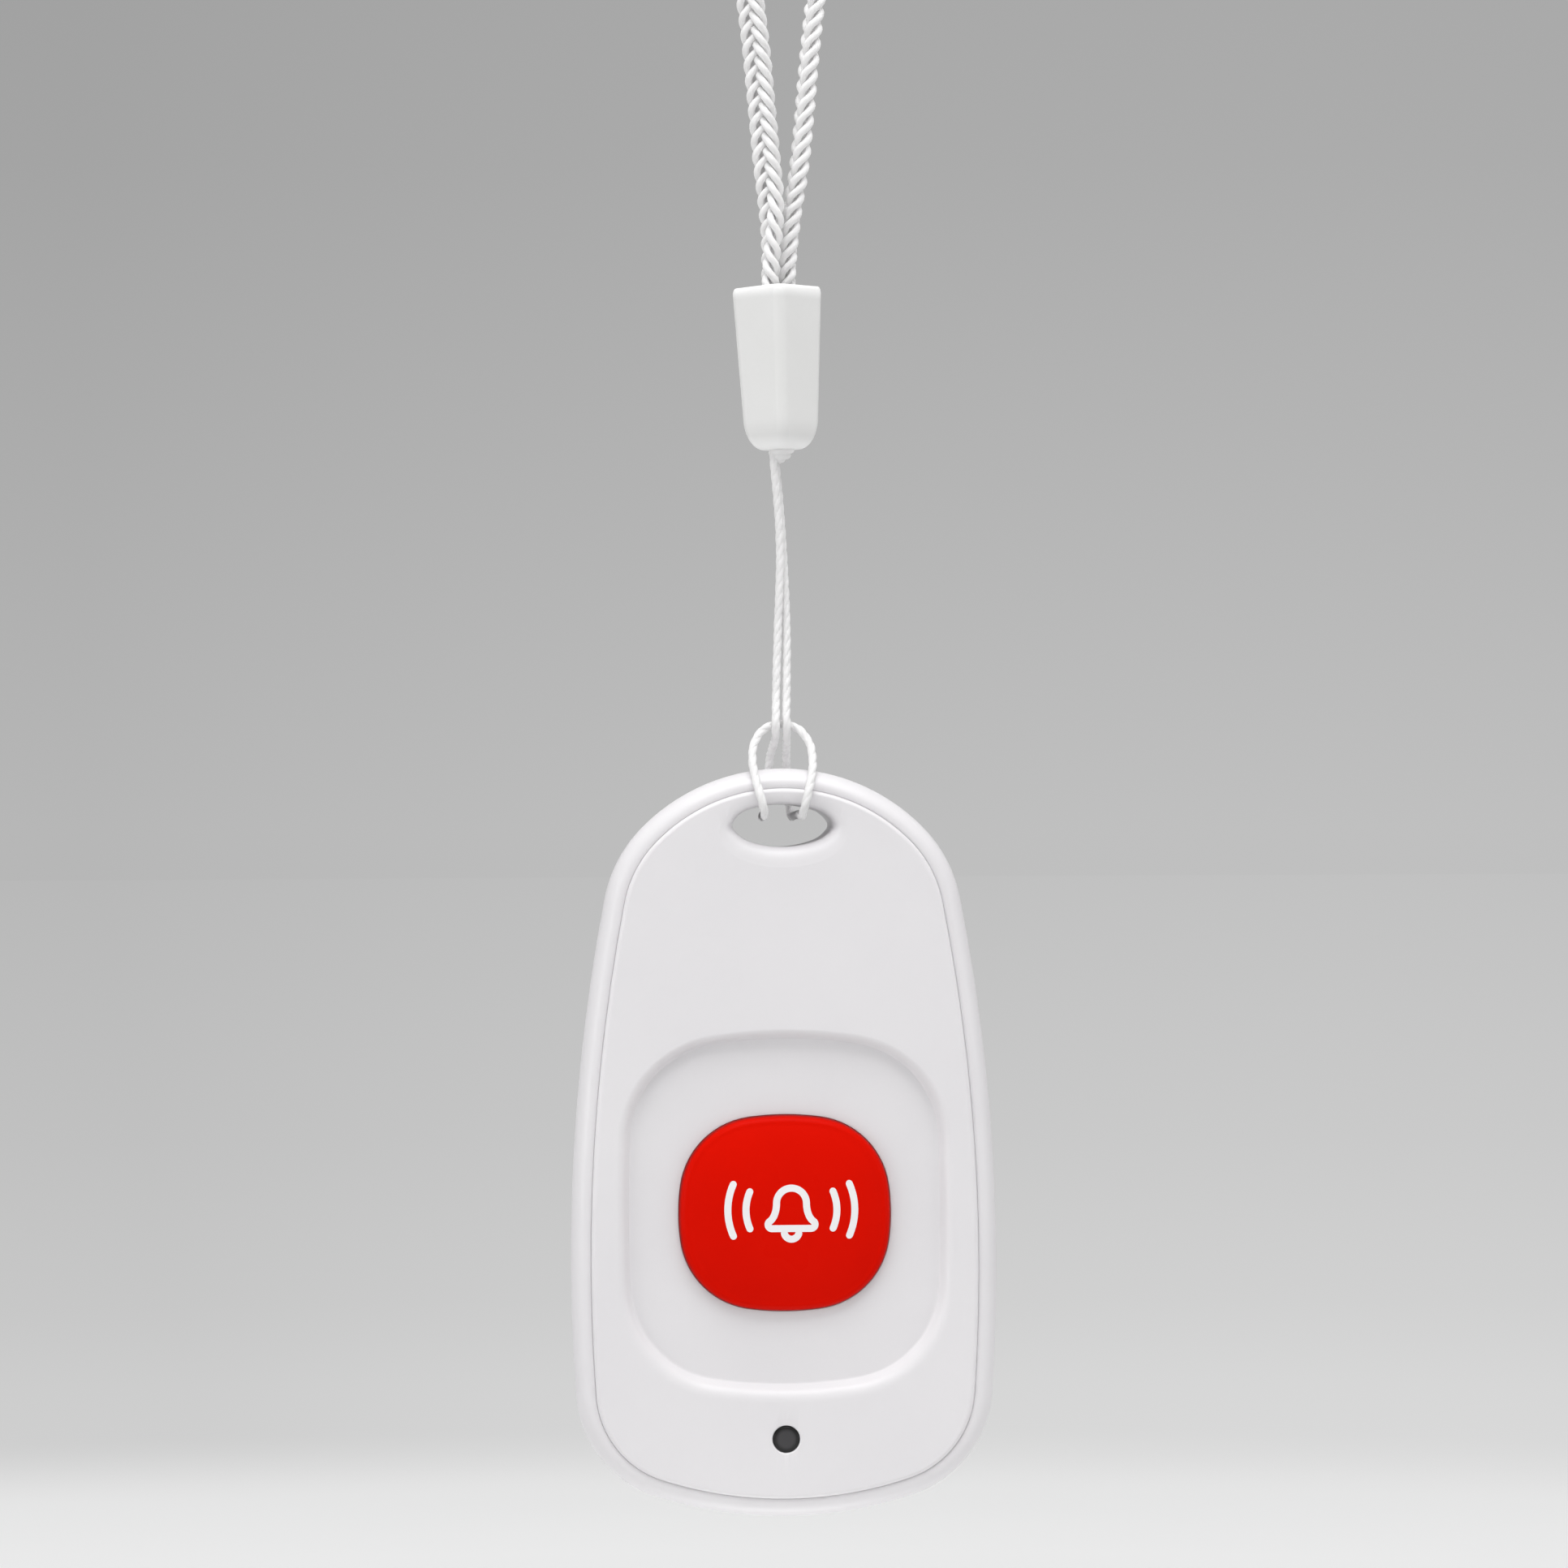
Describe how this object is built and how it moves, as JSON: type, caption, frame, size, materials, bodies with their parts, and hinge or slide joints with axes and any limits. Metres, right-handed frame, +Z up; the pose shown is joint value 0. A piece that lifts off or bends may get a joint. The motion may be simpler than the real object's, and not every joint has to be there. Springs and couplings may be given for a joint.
{
  "type": "wireless panic button",
  "caption": "White egg-shaped pendant call button with a red press button in a dished pocket, an indicator lens, and a lanyard eye hung by a thin string, a ferrule and a braided cord loop.",
  "frame": {"origin": "middle of the lanyard eye, half way through the case", "axes": "+Z up along the hanging pendant, -Y out of the front face with the button, +X to the right seen from the front"},
  "size_m": [0.0344, 0.0129, 0.1862],
  "materials": {
    "white_shell": "satin moulded white",
    "white_cover": "satin moulded white",
    "red_button": "satin moulded red",
    "smoked_lens": "smoked lens",
    "diode_body": "diode",
    "board_laminate": "green board",
    "copper": "bare copper",
    "chip_plastic": "moulded black",
    "can_steel": "plated can",
    "capacitor_ceramic": "tan ceramic",
    "resistor_body": "black chip",
    "switch_plastic": "moulded black",
    "plated_terminal": "tin plated",
    "spring_metal": "spring metal",
    "plunger_plastic": "moulded grey",
    "switch_steel": "stamped steel",
    "cell_steel": "bright can",
    "contact_metal": "plated spring sheet",
    "seal_rubber": "black rubber",
    "screw_steel": "zinc plated",
    "white_string": "twisted white string",
    "white_ferrule": "milky white",
    "white_braid": "braided white cord"
  },
  "bodies": {
    "case": {"rear_shell": "white_shell", "front_cover": "white_cover", "indicator_lens": "smoked_lens", "indicator_diode": "diode_body", "circuit_board": "board_laminate", "antenna_trace": "copper", "encoder_chip": "chip_plastic", "saw_resonator": "can_steel", "chip_capacitors": "capacitor_ceramic", "chip_resistors": "resistor_body", "switch_base": "switch_plastic", "switch_terminals": "plated_terminal", "switch_dome": "spring_metal", "switch_plate": "switch_steel", "coin_cell": "cell_steel", "positive_contact": "contact_metal", "negative_contact": "contact_metal", "board_screws": "screw_steel", "strap_string": "white_string", "string_knot": "white_string", "cord_ferrule": "white_ferrule", "neck_cord": "white_braid"},
    "button": {"button_cap": "red_button"},
    "plunger": {"switch_plunger": "plunger_plastic"},
    "door": {"battery_door": "white_shell", "door_seal": "seal_rubber"}
  },
  "joints": [
    {"name": "button_press", "type": "slide", "parent": "case", "child": "button", "axis": [0, 1, 0], "range_m": [0, 0.00035], "stiffness_N_per_m": 5000},
    {"name": "plunger_press", "type": "slide", "parent": "case", "child": "plunger", "axis": [0, 1, 0], "range_m": [0, 0.00035], "deforming": ["switch_dome"]},
    {"name": "door_turn", "type": "hinge", "parent": "case", "child": "door", "pos_m": [0, 0.00548, -0.03048], "axis": [0, 1, 0], "range_deg": [0, 40]}
  ],
  "couplings": [
    {"joint": "plunger_press", "follows": "button_press", "ratio": 1}
  ]
}
